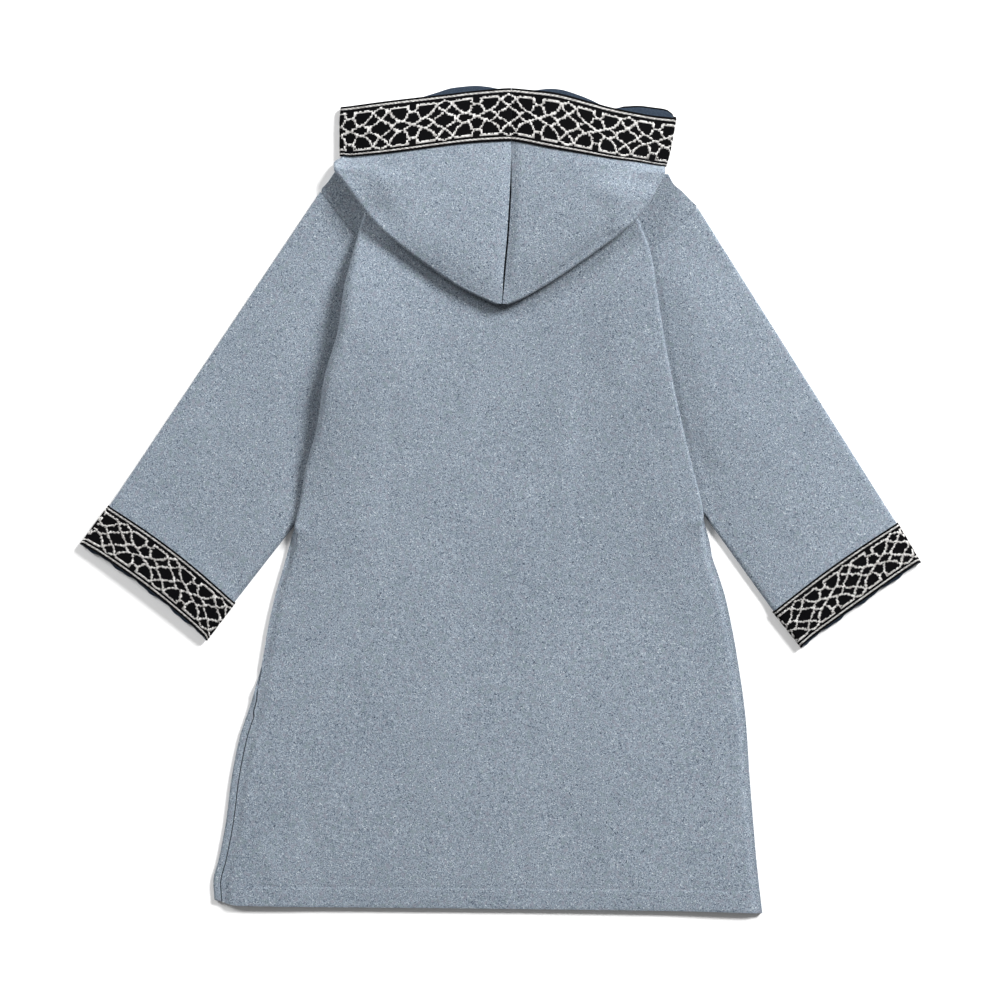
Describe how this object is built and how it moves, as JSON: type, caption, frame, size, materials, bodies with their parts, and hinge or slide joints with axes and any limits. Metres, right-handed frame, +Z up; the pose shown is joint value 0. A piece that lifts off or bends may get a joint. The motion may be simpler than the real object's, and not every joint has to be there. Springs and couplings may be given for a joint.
{
  "type": "hooded jilbab",
  "caption": "Child's hooded long-sleeved wool robe laid flat with its back side up, pointed hood folded on the back, patterned woven ribbon along the hood's opening and the cuffs.",
  "frame": {"origin": "bottom centre of the robe's box, on the floor it lies on", "axes": "+Z up from the floor through the cloth, +Y from the hem towards the hood, +X to the right as seen from above"},
  "size_m": [0.7908, 0.7766, 0.0205],
  "materials": {
    "wool": "matt felted melange wool",
    "ribbon": "black woven ribbon with silver metallic thread"
  },
  "bodies": {
    "root": {"front": "wool", "back": "wool", "sleeve_left": "wool", "sleeve_right": "wool", "hood_left": "wool", "hood_right": "wool", "hood_trim_left": "ribbon", "hood_trim_right": "ribbon", "cuff_trim_left": "ribbon", "cuff_trim_right": "ribbon"}
  },
  "joints": []
}
